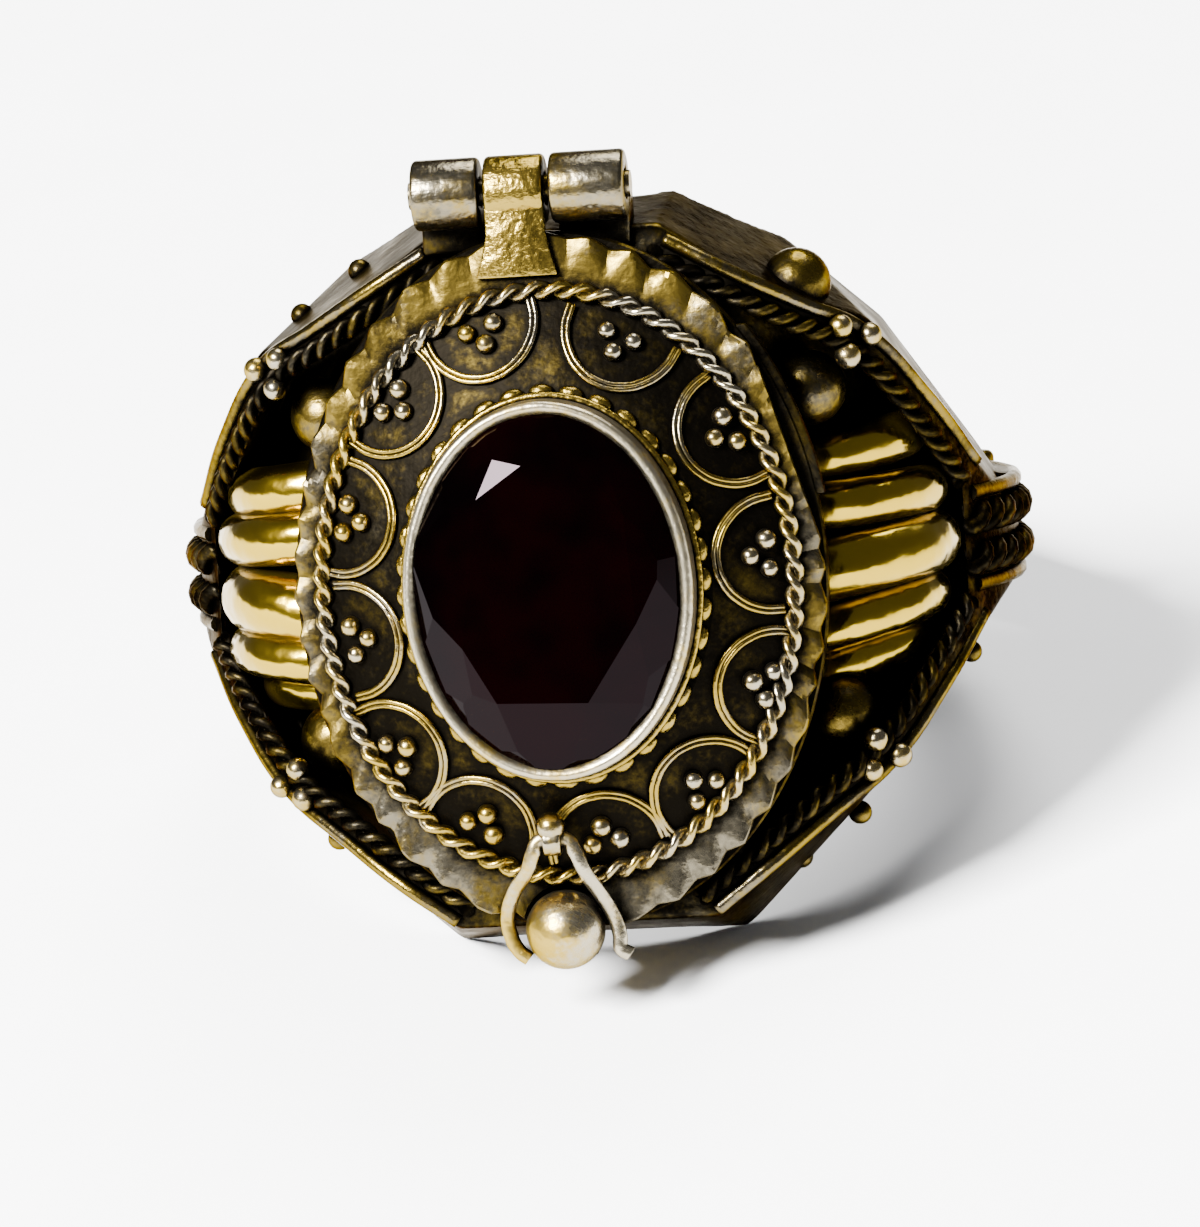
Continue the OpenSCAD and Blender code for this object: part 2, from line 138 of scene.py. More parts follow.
# The camera stands nearly square to the lid's flat border, whose height is in millimetres from the finger
# hole's axis. The pixels count from the photograph's upper left corner.
flange_z = 13.65
centre = laid @ Vector((0, 0, flange_z))
face = (laid.to_3x3() @ Vector((0, 0, 1))).normalized()
upward = (laid.to_3x3() @ Vector((0, 1, 0))).normalized()
aside, above, roll = math.radians(7.0), math.radians(5.0), math.radians(3.7)
back = (face * math.cos(aside) * math.cos(above) + Vector((1, 0, 0)) * math.sin(aside) * math.cos(above)
        + upward * math.sin(above))
right = upward.cross(back).normalized()
top = back.cross(right)
right, top = right * math.cos(roll) - top * math.sin(roll), top * math.cos(roll) + right * math.sin(roll)
picture_px, middle_px, lid_px = 1200, (600, 613.5), (559, 583)
px_per_m, away, sensor_mm = 38600.0, 0.195, 36.0
aim = (centre + right * (middle_px[0] - lid_px[0]) / px_per_m
       - top * (middle_px[1] - lid_px[1]) / px_per_m)
stand = aim + back * away
bpy.ops.object.camera_add(location=stand)
camera = bpy.context.object
camera.name = "photograph"
camera.matrix_world = Matrix.Translation(stand) @ Matrix((right, top, back)).transposed().to_4x4()
camera.data.sensor_fit = "HORIZONTAL"
camera.data.sensor_width = sensor_mm
camera.data.lens = sensor_mm * away / (picture_px / px_per_m)
camera.data.clip_start, camera.data.clip_end = 0.01, 10.0
bpy.context.scene.camera = camera

room = bpy.data.worlds.new("room")
room.use_nodes = True
room.node_tree.nodes["Background"].inputs["Color"].default_value = (0.75, 0.78, 0.85, 1)
room.node_tree.nodes["Background"].inputs["Strength"].default_value = 0.28
bpy.context.scene.world = room
lamps = (("window", (-0.323, -0.370, 0.471), 0.2, 56.0), ("ceiling", (0.15, 0.55, 0.75), 0.5, 18.0))
for name, spot, size, power in lamps:
    bpy.ops.object.light_add(type="AREA", location=spot)
    lamp = bpy.context.object
    lamp.name = name
    lamp.rotation_euler = Vector(spot).to_track_quat("Z", "Y").to_euler()
    lamp.data.size, lamp.data.energy = size, power

# The ring itself: a tapered band that widens into two hollow shoulders, all soldered up from silver sheet
# and blackened. It is modelled face up in millimetres, as on the bench, and laid down when it is finished.
back_r, finger_r, shoulder_r, shoulder_z, shoulder_top = 10.3, 9.1, 11.2, 2.1, 12.2
foot_z, foot_half, back_half = 1.0, 2.2, 2.4
floor_z, trough_r = 9.9, 10.6


def drum(r, length, at=(0, 0, 0), sides=128):
    bpy.ops.mesh.primitive_cylinder_add(vertices=sides, radius=r, depth=length, location=at,
                                        rotation=(math.pi / 2, 0, 0))
    bpy.ops.object.transform_apply()
    return bpy.context.object


def block(low, high):
    bpy.ops.mesh.primitive_cube_add(size=1, location=[(a + b) / 2 for a, b in zip(low, high)],
                                    scale=[b - a for a, b in zip(low, high)])
    bpy.ops.object.transform_apply()
    return bpy.context.object


def slice_off(piece, point, normal):
    only(piece)
    bpy.ops.object.mode_set(mode="EDIT")
    bpy.ops.mesh.select_all(action="SELECT")
    bpy.ops.mesh.bisect(plane_co=point, plane_no=normal, use_fill=True, clear_outer=True, threshold=1e-5)
    bpy.ops.object.mode_set(mode="OBJECT")
    return piece


def carve(piece, tool, how="DIFFERENCE"):
    only(piece)
    step = piece.modifiers.new("carve", "BOOLEAN")
    step.object, step.operation, step.solver = tool, how, "EXACT"
    bpy.ops.object.modifier_apply(modifier=step.name)
    bpy.data.objects.remove(tool, do_unlink=True)
    return piece


def slab(plan, z0, z1):
    bpy.ops.mesh.primitive_circle_add(vertices=len(plan), radius=1, fill_type="NGON", location=(0, 0, 0))
    piece = bpy.context.object
    for vertex, (x, y) in zip(piece.data.vertices, plan):
        vertex.co = (x, y, z0)
    bpy.ops.object.mode_set(mode="EDIT")
    bpy.ops.mesh.select_all(action="SELECT")
    bpy.ops.mesh.extrude_region_move(TRANSFORM_OT_translate={"value": (0, 0, z1 - z0)})
    bpy.ops.mesh.select_all(action="SELECT")
    bpy.ops.mesh.normals_make_consistent(inside=False)
    bpy.ops.object.mode_set(mode="OBJECT")
    return piece


def soften(piece, voxel, triangles, rounds):
    only(piece)
    step = piece.modifiers.new("skin", "REMESH")
    step.mode, step.voxel_size = "VOXEL", voxel
    bpy.ops.object.modifier_apply(modifier=step.name)
    step = piece.modifiers.new("rub", "SMOOTH")
    step.iterations, step.factor = rounds, 0.5
    bpy.ops.object.modifier_apply(modifier=step.name)
    have = 2 * len(piece.data.polygons)
    if have > triangles:
        step = piece.modifiers.new("thin", "DECIMATE")
        step.ratio = triangles / have
        bpy.ops.object.modifier_apply(modifier=step.name)
    return piece


def lay_down(piece, name, body, made, angle=None):
    only(piece)
    piece.name = piece.data.name = name
    if angle is None:
        bpy.ops.object.shade_smooth()
    else:
        bpy.ops.object.shade_smooth_by_angle(angle=math.radians(angle))
    piece.matrix_world = laid @ piece.matrix_world
    bpy.ops.object.transform_apply(location=True, rotation=True, scale=True)
    piece.data.materials.clear()
    piece.data.materials.append(made)
    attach(piece, body)
    return piece


def oxidised(name, shine=0.5, gilt=0.4, seed=0.0, rough=0.16, hollow_mm=0.5, dents_mm=0.05,
             yellow_higher_up=0.0):
    """Sterling silver, blackened, then polished on its high places, with yellow-brown tarnish left on.

    Shine is how far the polish reached, gilt how much tarnish there is, slant how much yellower and a touch
    darker the silver grows the higher it lies above the table.
    """
    made, at, shader = finish(name, Metallic=1.0, Specular_Tint=(0.42, 0.38, 0.31, 1))
    height = at.node("SeparateXYZ", {0: at}, out=2)
    open_air = at.node("AmbientOcclusion", {"Distance": hollow_mm / 1000.0}, out="AO", samples=6)
    stain = at.noise(1.7, 4, 0.6, seed)
    fine = at.noise(0.16, 3, 0.6, seed)
    low = 1.0 - 0.6 * min(shine, 1.0)
    worn = (open_air + (stain - 0.5) * 0.9 + (fine - 0.5) * 0.45).between(low, low + 0.5)
    # The height term makes the silver yellower and a touch darker the higher it lies above the table.
    tarnish = (at.noise(2.3, 3, 0.6, seed + 1) + (fine - 0.5) * 0.4 + (height - 0.011) * (100 * yellow_higher_up)
               ).between(0.62 - 0.45 * gilt, 0.9 - 0.45 * gilt)
    polish = 0.08 + 0.5 * shine
    clean = (0.25 * polish, 0.218 * polish, 0.15 * polish, 1)
    yellow = (0.27 * polish, 0.185 * polish, 0.03 * polish, 1)
    dulled = worn.mix((0.0022, 0.0018, 0.0012, 1), tarnish.mix(clean, yellow))
    stretched = at.node("VectorMath", {0: at, 1: (1.0, 6.0, 1.0)}, operation="MULTIPLY")
    scratches = at.node("TexNoise", {"Vector": stretched, "Scale": 2600.0, "Detail": 3.0, "Roughness": 0.7})
    feed(shader, Base_Color=dulled,
         Roughness=rough + 0.2 * (1 - worn) + (scratches - 0.5) * 0.12 + tarnish * 0.06,
         Normal=(at.noise(0.45, 2, 0.5, seed) * 0.7 + scratches * 0.12 + fine * 0.18).bump(dents_mm))
    return made


dark_silver = oxidised("dark silver sheet", shine=0.26, gilt=0.68, rough=0.2)

shell = drum(shoulder_r, 24, (0, 0, shoulder_z))
slice_off(shell, (0, 0, shoulder_top), (0, 0, 1))
profile = ((2.3, foot_z), (7.7, 5.4), (9.85, 8.5), (9.64, shoulder_top))
for end in (1, -1):
    for (y0, z0), (y1, z1) in zip(profile, profile[1:]):
        slice_off(shell, (0, end * y0, z0), (0, end * (z1 - z0), y0 - y1))
slice_off(shell, (0, 0, foot_z), (0, 0, -1))
# Each side panel's two ends, seen from above at the height of the box's floor, and its lean in degrees.
panels = (((3.45, 9.3), (8.2, 6.1), 11), ((7.9, 6.4), (8.5, 5.8), -2), ((8.2, 6.1), (10.45, 2.3), -2),
          ((3.75, -9.5), (8.1, -5.6), 13), ((7.8, -5.9), (8.4, -5.3), 0), ((8.1, -5.6), (10.45, -2.3), 0))
for (x0, y0), (x1, y1), out in panels:
    away_x, away_y = (y0 - y1, x1 - x0) if y0 > 0 else (y1 - y0, x0 - x1)
    size = math.hypot(away_x, away_y)
    flat, tip = math.cos(math.radians(out)) / size, math.sin(math.radians(out))
    for side in (1, -1):
        slice_off(shell, (side * x0, y0, floor_z), (side * away_x * flat, away_y * flat, tip))
band = drum(back_r, 7.2)
for end in (1, -1):
    slice_off(band, (0, end * back_half, -back_r), (0, end * (foot_z + back_r), back_half - foot_half))
slice_off(band, (0, 0, 2.5), (0, 0, 1))
carve(shell, band, "UNION")
bar_x, bar_z = 9.67, -3.56
strip = drum(shoulder_r - 0.05, 2.8, (0, 0, shoulder_z))
for point, normal in (((0, 0, bar_z), (0, 0, -1)), ((0, 0, 2.4), (0, 0, 1))):
    slice_off(strip, point, normal)
carve(shell, strip, "UNION")
trough = ((4.4, 7.25), (7.75, 5.4), (9.1, 3.0), (10.1, 1.5),
          (10.1, -1.5), (9.1, -2.8), (7.65, -4.95), (4.4, -7.35))
for side in (1, -1):
    plan = [(side * x, y) for x, y in (trough if side > 0 else reversed(trough))]
    carve(shell, carve(slab(plan, 4.6, 16.0), drum(trough_r, 24)))
carve(shell, drum(finger_r, 30))


def oval(a, b, z0, z1, sides=160):
    bpy.ops.mesh.primitive_cylinder_add(vertices=sides, radius=1, depth=z1 - z0,
                                        location=(0, 0, (z0 + z1) / 2), scale=(a, b, 1))
    bpy.ops.object.transform_apply()
    return bpy.context.object


carve(shell, oval(6.3, 8.45, 9.6, 16))
soften(shell, 0.1, 150000, 8)
lay_down(shell, "band_and_shoulders", "ring", dark_silver)
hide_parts("ring_body")

# The box: an oval wall of thicker sheet soldered through the top of the ring, open at the top, with a flat
# rim as wide as the lid. One stretch of the rim stands out past the lid and ends in a square step.
rim_z = 13.1


def loft(rings, sides=176, closed=True):
    """A shell raised ring by ring from an oval sheet: each ring is (half width, half length, height)."""
    a, b, z = rings[0]
    bpy.ops.mesh.primitive_circle_add(vertices=sides, radius=1, fill_type="NOTHING", location=(0, 0, 0))
    piece = bpy.context.object
    piece.scale, piece.location = (a, b, 1), (0, 0, z)
    bpy.ops.object.transform_apply()
    bpy.ops.object.mode_set(mode="EDIT")
    bpy.ops.mesh.select_mode(type="EDGE")
    bpy.ops.mesh.select_all(action="SELECT")
    for (a0, b0, z0), (a1, b1, z1) in zip(rings, rings[1:]):
        bpy.ops.mesh.extrude_edges_move(TRANSFORM_OT_translate={"value": (0, 0, z1 - z0)})
        bpy.ops.transform.resize(value=(a1 / a0, b1 / b0, 1), center_override=(0, 0, z1))
    if closed:
        bpy.ops.mesh.edge_face_add()
    bpy.ops.mesh.select_all(action="SELECT")
    bpy.ops.mesh.normals_make_consistent(inside=False)
    bpy.ops.object.mode_set(mode="OBJECT")
    return piece


def round_edges(piece, width, segments):
    only(piece)
    step = piece.modifiers.new("edge", "BEVEL")
    step.width, step.segments, step.limit_method = width, segments, "ANGLE"
    bpy.ops.object.modifier_apply(modifier=step.name)
    return piece


walls = loft([(6.6, 8.75, 5.6), (6.6, 8.75, 12.6), (6.66, 8.81, 12.65), (6.89, 9.04, 12.65),
              (6.95, 9.1, 12.71), (6.95, 9.1, 13.04), (6.9, 9.05, rim_z), (6.1, 8.25, rim_z),
              (6.05, 8.2, 13.04), (6.05, 8.2, 10.0), (5.95, 8.1, floor_z)])
carve(walls, drum(finger_r + 0.02, 30))
lay_down(walls, "box", "ring", dark_silver, 35)

step = oval(7.15, 9.3, 12.7, 13.05)
for point, normal in (((0, 1.9, 13), (0, -1, 0)), ((0, 6.4, 13), (0, 1, 0)), ((4.5, 0, 13), (-1, 0, 0))):
    slice_off(step, point, normal)
round_edges(step, 0.06, 2)
lay_down(step, "rim_step", "ring", dark_silver, 35)

# Rails: along the upper edge of every side panel run a plain wire and, inside it, a rope twisted from two
# finer wires. Both follow the panel from the box to the band and are soldered down.


def path(points, closed=False):
    bpy.ops.curve.primitive_bezier_curve_add(location=(0, 0, 0))
    line = bpy.context.object
    spline = line.data.splines[0]
    spline.bezier_points.add(len(points) - 2)
    for knot, point in zip(spline.bezier_points, points):
        knot.co = point
        knot.handle_left_type = knot.handle_right_type = "AUTO"
    spline.use_cyclic_u = closed
    line.data.resolution_u, line.data.twist_mode = 16, "MINIMUM"
    return line


def plain_wire(line, r, sides=3):
    only(line)
    line.data.bevel_depth, line.data.bevel_resolution, line.data.use_fill_caps = r, sides, True
    bpy.ops.object.convert(target="MESH")
    piece = bpy.context.object
    bpy.ops.object.mode_set(mode="EDIT")
    bpy.ops.mesh.select_all(action="SELECT")
    bpy.ops.mesh.remove_doubles(threshold=1e-4)
    bpy.ops.mesh.normals_make_consistent(inside=False)
    bpy.ops.object.mode_set(mode="OBJECT")
    return piece


def rope(line, r, lobe, sides=8):
    """Two round wires, pressed a little into each other, twisted together and bent along the line."""
    length = line.data.splines[0].calc_length()
    turns = max(1, round(length / (2 * lobe)))
    strand, apart = r * 0.66, r * 0.4
    bpy.ops.mesh.primitive_circle_add(vertices=sides, radius=strand, location=(apart, 0, 0),
                                      rotation=(math.pi / 2, 0, 0))
    piece = bpy.context.object
    bpy.ops.object.mode_set(mode="EDIT")
    bpy.ops.transform.resize(value=(1, 1, 1.15))
    bpy.ops.mesh.duplicate_move(TRANSFORM_OT_translate={"value": (-2 * apart, 0, 0)})
    bpy.ops.object.mode_set(mode="OBJECT")
    bpy.ops.object.transform_apply()
    twist = piece.modifiers.new("twist", "SCREW")
    twist.axis, twist.angle, twist.screw_offset, twist.iterations = "Z", -2 * math.pi, length / turns, turns
    twist.steps = twist.render_steps = 12
    bend = piece.modifiers.new("bend", "CURVE")
    bend.object, bend.deform_axis = line, "POS_Z"
    only(piece)
    bpy.ops.object.modifier_apply(modifier=twist.name)
    bpy.ops.object.modifier_apply(modifier=bend.name)
    closed = line.data.splines[0].use_cyclic_u
    bpy.ops.object.mode_set(mode="EDIT")
    bpy.ops.mesh.select_all(action="SELECT")
    bpy.ops.mesh.remove_doubles(threshold=0.02 if closed else 1e-4)
    if not closed:
        bpy.ops.mesh.select_all(action="DESELECT")
        bpy.ops.mesh.select_non_manifold()
        bpy.ops.mesh.fill_holes(sides=0)
        bpy.ops.mesh.select_all(action="SELECT")
    bpy.ops.mesh.normals_make_consistent(inside=False)
    bpy.ops.object.mode_set(mode="OBJECT")
    bpy.data.objects.remove(line, do_unlink=True)
    return piece


def together(pieces):
    only(*pieces)
    bpy.ops.object.join()
    return bpy.context.object


def top_z(x):
    return min(shoulder_top, shoulder_z + math.sqrt(shoulder_r ** 2 - x * x))


bright_silver = oxidised("bright wire", shine=1.5, gilt=0.6, rough=0.2, hollow_mm=0.27)
rails = (((3.2, 8.8), (4.9, 7.83), (6.5, 6.91), (8.0, 6.05), (9.5, 4.05), (10.5, 2.15)),
         ((3.5, -9.0), (4.9, -7.97), (6.5, -6.78), (8.1, -5.6), (9.5, -3.8), (10.5, -2.15)))
plain, twisted, beads = [], [], []
for side in (1, -1):
    for rail in rails:
        end = 1 if rail[0][1] > 0 else -1
        outer = [(side * (x - 0.08), y - end * 0.12, top_z(x) + 0.02) for x, y in rail]
        inner = [(side * (x - 0.39), y - end * 0.53, top_z(x - 0.39) + 0.05) for x, y in rail]
        plain.append(plain_wire(path(outer), 0.2))
        twisted.append(rope(path(inner), 0.29, 0.6))
edge_silver = oxidised("edge wire", shine=0.6, gilt=0.75, rough=0.16, hollow_mm=0.4, seed=7.0)
lay_down(together(plain), "edge_wires", "ring", edge_silver)
lay_down(together(twisted), "edge_ropes", "ring", dark_silver)

# Beads and balls: melted silver drops, soldered on. Three small bright ones sit at each knee of the rails and
# a large one at either end of each gold dome. The side panels bear small ones, and a large one at the hinge's
# end on the right. The largest of all is the ball that the catch grips.


def drop(r, at, flat=1.0, sides=32):
    bpy.ops.mesh.primitive_uv_sphere_add(segments=sides, ring_count=sides // 2, radius=r, location=at)
    piece = bpy.context.object
    piece.scale = (1, 1, flat)
    bpy.ops.object.transform_apply()
    return piece


chance = random.Random(7)
for side in (1, -1):
    for rail in rails:
        end = 1 if rail[0][1] > 0 else -1
        x, y = rail[3][0] - 0.25, rail[3][1] - end * 0.35
        for dx, dy in ((-0.3, 0.36), (0.4, 0.08), (-0.16, -0.42)):
            r = 0.34 + chance.uniform(-0.03, 0.03)
            beads.append(drop(r, (side * (x + dx), y + end * dy, top_z(x + dx) + 0.24), sides=20))
lay_down(together(beads), "rail_beads", "ring", bright_silver)
brown_silver = oxidised("brown silver balls", shine=0.55, gilt=0.9, rough=0.16, hollow_mm=0.7)
balls = []
for side in (1, -1):
    for x, y in ((6.4, 4.45), (6.75, -4.2)):
        balls.append(drop(1.0, (side * x, y, math.sqrt((trough_r + 0.8) ** 2 - x * x))))
    for x, y, z in ((5.4, -8.0, 9.0), (7.0, -6.95, 8.6)):
        balls.append(drop(0.32, (side * x, y, z), sides=20))
balls.append(drop(0.92, (6.3, 7.25, 9.95)))
balls.append(drop(0.3, (9.95, -3.15, 5.2), sides=20))
for x, y, z in ((-5.35, 8.2, 9.1), (-7.0, 7.1, 8.9)):
    balls.append(drop(0.32, (x, y, z), sides=20))
lay_down(together(balls), "shoulder_balls", "ring", brown_silver)

catch = Vector((-0.37, -9.0, 13.95))
knob = drop(1.04, catch, sides=64)
post = oval(0.55, 0.55, 11.0, 13.6, 32)
post.location = (catch.x, catch.y - 0.05, 0)
only(post)
bpy.ops.object.transform_apply()
knob = together([knob, post])
ball_silver = oxidised("polished catch ball", shine=1.8, gilt=0.5, rough=0.26, hollow_mm=0.5, seed=3.0)
lay_down(knob, "catch_ball", "ring", ball_silver)

# Ropes of the band: two coarse twisted wires lie side by side between two plain wires. A short bar on each
# side parts the stretch round the back from the two stretches that climb the shoulders.


def arc(r, start, stop, y, z0=0.0, steps=9):
    return [(r * math.cos(a), y, z0 + r * math.sin(a)) for a in
            (math.radians(start + (stop - start) * i / (steps - 1)) for i in range(steps))]


low = math.degrees(math.atan2(-bar_z, bar_x))
rise = math.degrees(math.atan2(bar_z - shoulder_z, bar_x))
rope_end, wire_end, on_r = 24, 23, shoulder_r - 0.06
coarse, thin = [], []
for y in (-0.54, 0.54):
    coarse.append(rope(path(arc(back_r + 0.02, 180 + low, 360 - low, y, steps=15)), 0.46, 0.9, 12))
    coarse.append(rope(path(arc(on_r, rise, rope_end, y, shoulder_z, 5)), 0.46, 0.9, 12))
    coarse.append(rope(path(arc(on_r, 180 - rise, 180 - rope_end, y, shoulder_z, 5)), 0.46, 0.9, 12))
for y in (-1.22, 1.22):
    thin.append(plain_wire(path(arc(back_r, 180 + low, 360 - low, y, steps=15)), 0.22))
    thin.append(plain_wire(path(arc(on_r, rise, wire_end, y, shoulder_z, 5)), 0.22))
    thin.append(plain_wire(path(arc(on_r, 180 - rise, 180 - wire_end, y, shoulder_z, 5)), 0.22))
lay_down(together(coarse), "band_ropes", "ring", dark_silver)
for side in (1, -1):
    bar = drum(0.6, 3.3, (side * bar_x, 0, bar_z), 32)
    thin.append(round_edges(bar, 0.2, 4))
lay_down(together(thin), "band_wires", "ring", brown_silver, 40)

# Gold domes: a hollow of yellow gold sheet pressed into fat ribs sits in each shoulder. It is thin and soft,
# so its mirror finish is full of slow waves, with near-black painted shade, partly grime, low between the
# ribs.
gold, at, shader = finish("gold sheet", IOR=1.5)
# Painted shade, partly grime: ambient occlusion darkens the gold to near black where the ribs crowd together.
deep = 1 - at.node("AmbientOcclusion", {"Distance": 0.0009}, out="AO", samples=6)
smoke = at.noise(1.3, 4, 0.6)
grime_and_painted_shade = (deep + (smoke - 0.5) * 0.5).between(0.35, 0.85)
feed(shader, Base_Color=grime_and_painted_shade.mix((0.29, 0.195, 0.013, 1), (0.02, 0.012, 0.0015, 1)),
     Metallic=1 - grime_and_painted_shade * 0.1, Roughness=grime_and_painted_shade * 0.2 + smoke * 0.1 + 0.13,
     Normal=(at.noise(1.5, 2, 0.4) + at.noise(0.6, 2) * 0.1 + at.noise(0.25, 2) * 0.02).bump(0.2))
dome_x, dome_z = 6.82, 6.95
# Each rib, from the hinge's end: where its middle lies, its turn in degrees, half its thickness, its reach.
ribs_right = ((2.55, 12, 0.66, 2.45), (1.3, 4, 0.68, 2.9), (-0.35, 10, 0.86, 3.2), (-1.9, 15, 0.66, 2.9),
              (-2.95, 18, 0.62, 2.35))
ribs_left = ((2.55, 6, 0.72, 2.85), (1.25, 3, 0.72, 3.15), (-0.85, -10, 0.95, 3.2), (-2.15, -8, 0.66, 3.05),
             (-2.95, -4, 0.6, 2.2))
for side, name, plan in ((1, "gold_dome_right", ribs_right), (-1, "gold_dome_left", ribs_left)):
    ribs = []
    for y, turn, fat, reach in plan:
        bpy.ops.mesh.primitive_torus_add(major_segments=96, minor_segments=32, major_radius=reach - fat,
                                         minor_radius=fat, rotation=(math.pi / 2, 0, 0))
        rib = bpy.context.object
        bpy.ops.object.transform_apply()
        rib.rotation_euler, rib.location = (0, 0, math.radians(turn)), (side * dome_x, y, dome_z)
        bpy.ops.object.transform_apply()
        ribs.append(carve(rib, drum(10.2, 24)))
    dome = together(ribs)
    slice_off(dome, (side * 10.02, 0, 0), (side, 0, 0))
    lay_down(dome, name + "_ribs", "ring", gold)
    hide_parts(name)

# Hinge: three short tubes rolled from sheet, with a wire pin through them. The two outer ones are soldered to
# straps on the ring, and the middle one to the lid's tongue.
hinge_y, hinge_z, knuckle_r = 10.2, 13.1, 0.92


def tube(x0, x1, y, z, r, bore, edge=0.12):
    rods = []
    for radius, length, sides in ((r, x1 - x0, 64), (bore, 6, 48)):
        bpy.ops.mesh.primitive_cylinder_add(vertices=sides, radius=radius, depth=length,
                                            location=((x0 + x1) / 2, y, z), rotation=(0, math.pi / 2, 0))
        bpy.ops.object.transform_apply()
        rods.append(bpy.context.object)
    return round_edges(carve(*rods), edge, 3)


hinge_silver = oxidised("hinge silver", shine=0.8, gilt=0.5, rough=0.2, hollow_mm=0.8, seed=5.0)
knuckles, straps = [], []
for x0, x1 in ((-3.2, -1.45), (0.4, 2.35)):
    knuckles.append(tube(x0, x1, hinge_y, hinge_z, knuckle_r, 0.36))
    strap = block((x0 + 0.05, 8.6, 11.2), (x1 - 0.05, 10.0, 12.5))
    straps.append(round_edges(strap, 0.12, 3))
lay_down(together(knuckles), "ring_knuckles", "ring", hinge_silver, 40)
lay_down(together(straps), "knuckle_straps", "ring", dark_silver, 40)
pin = frame["nodes"]["hinge_pin"]
pin.data.materials.clear()
pin.data.materials.append(bright_silver)

# Lid: one oval plate. Its middle is raised into a sloping field, hollow underneath, and its flat border is
# nicked all round with a blunt punch, so that the edge is wavy. One stretch of the edge was filed straight.
rope_a, rope_b, lid_a, lid_b, nicks = 6.15, 7.62, 6.95, 9.1, 44


def oval_place(a, b, share, outward=0.0):
    turn = 2 * math.pi * share
    t = turn - (b * b - a * a) / (4 * (a * a + b * b)) * math.sin(2 * turn)
    out = math.atan2(a * math.sin(t), b * math.cos(t))
    return a * math.cos(t) + outward * math.cos(out), b * math.sin(t) + outward * math.sin(out), out


def field_z(x, y):
    return 13.7 + min(1.0, (1 - math.hypot(x / rope_a, y / rope_b)) / 0.33)


plate = loft([(3.6, 4.75, 13.35), (3.62, 4.77, 14.2), (4.0, 4.98, 14.22), (5.9, 7.3, 13.28),
              (5.96, 7.39, 13.2), (6.6, 8.5, 13.2), (6.85, 9.0, 13.2), (6.93, 9.08, 13.22),
              (6.95, 9.1, 13.28), (6.95, 9.1, 13.58), (6.93, 9.08, 13.62), (6.88, 9.03, flange_z),
              (6.78, 8.86, 13.655), (6.68, 8.66, 13.655), (6.55, 8.4, 13.655), (6.4, 8.1, 13.655),
              (6.2, 7.7, 13.66), (6.05, 7.5, 13.72), (5.6, 6.94, 13.97), (5.0, 6.2, 14.28),
              (4.4, 5.45, 14.58), (4.12, 5.11, 14.7), (3.82, 4.97, 14.72), (3.3, 4.45, 14.72),
              (3.09, 4.24, 13.75)], sides=nicks * 10)
only(plate)
bpy.ops.object.mode_set(mode="EDIT")
bpy.ops.mesh.select_all(action="SELECT")
bpy.ops.mesh.fill_holes(sides=0)
bpy.ops.mesh.normals_make_consistent(inside=False)
bpy.ops.object.mode_set(mode="OBJECT")
chance = random.Random(11)
places = [(i + 0.5 + chance.uniform(-0.14, 0.14), chance.uniform(0.55, 1.15)) for i in range(nicks)]
border, underside_z, pitch, evening, deepest, draw_in = 0.9, 13.19, 1.157, 0.1317, 0.24, 0.028
for vertex in plate.data.vertices:
    x, y, z = vertex.co
    reach = math.hypot(x / lid_a, y / lid_b)
    if reach > border and z > underside_z:
        t = math.atan2(y / lid_b, x / lid_a)
        share = (t + evening * math.sin(2 * t)) / (2 * math.pi) % 1.0 * nicks
        near, force = min(((abs((share - p + nicks / 2) % nicks - nicks / 2), f) for p, f in places))
        edge = min(1.0, (reach - border) / 0.1)
        dip = max(0.0, 1 - near * pitch / (0.06 + 0.5 * edge)) * force * edge
        vertex.co.z -= deepest * dip if z > 13.4 else 0.0
        pull = 1 - edge * draw_in * dip
        vertex.co.x, vertex.co.y = x * pull, y * pull
slice_off(plate, (5.27, 6.1, 13.4), (0.9596, 0.2816, 0))
notch = oval(1.16, 1.16, 12, 15, 64)
notch.location = (catch.x, catch.y, 0)
only(notch)
bpy.ops.object.transform_apply()
carve(plate, notch)
lid_silver = oxidised("lid silver", shine=0.58, gilt=0.7, rough=0.23, hollow_mm=0.6, seed=2.0, yellow_higher_up=0.18)
lay_down(plate, "lid_plate", "lid", lid_silver, 16)
field_silver = oxidised("blackened field", shine=0.1, gilt=0.9, rough=0.26, hollow_mm=0.4, seed=6.0)
plate.data.materials.append(field_silver)
bench = laid.inverted()
for polygon in plate.data.polygons:
    x, y, z = bench @ polygon.center
    polygon.material_index = 1 if math.hypot(x / rope_a, y / rope_b) < 1.0 else 0
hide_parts("lid")

tongue = slab([(-1.3, 10.2), (-1.3, 9.1), (-1.42, 8.5), (-1.62, 7.98),
               (0.52, 7.98), (0.38, 8.5), (0.25, 9.1), (0.25, 10.2)], 13.6, 13.88)
round_edges(tongue, 0.06, 2)
gilt_silver = oxidised("gilt silver", shine=1.2, gilt=1.15, rough=0.17, seed=8.0, dents_mm=0.1)
middle = together([tongue, tube(-1.3, 0.25, hinge_y, hinge_z, knuckle_r, 0.4)])
lay_down(middle, "lid_knuckle", "lid", gilt_silver, 40)

# Rope of the lid: two silver wires twisted to the left, bent to an oval and soldered where the border meets
# the field. Their high places were polished bright, and the dirt is left between them.


def oval_path(a, b, z):
    bpy.ops.curve.primitive_bezier_circle_add(radius=1, location=(0, 0, z))
    line = bpy.context.object
    line.scale = (a, b, 1)
    bpy.ops.object.transform_apply()
    for knot in line.data.splines[0].bezier_points:
        knot.radius = 1.0
    line.data.resolution_u, line.data.twist_mode = 64, "Z_UP"
    return line


lid_rope = rope(oval_path(rope_a, rope_b, 13.86), 0.26, 0.6)
lay_down(lid_rope, "lid_rope", "lid", bright_silver)

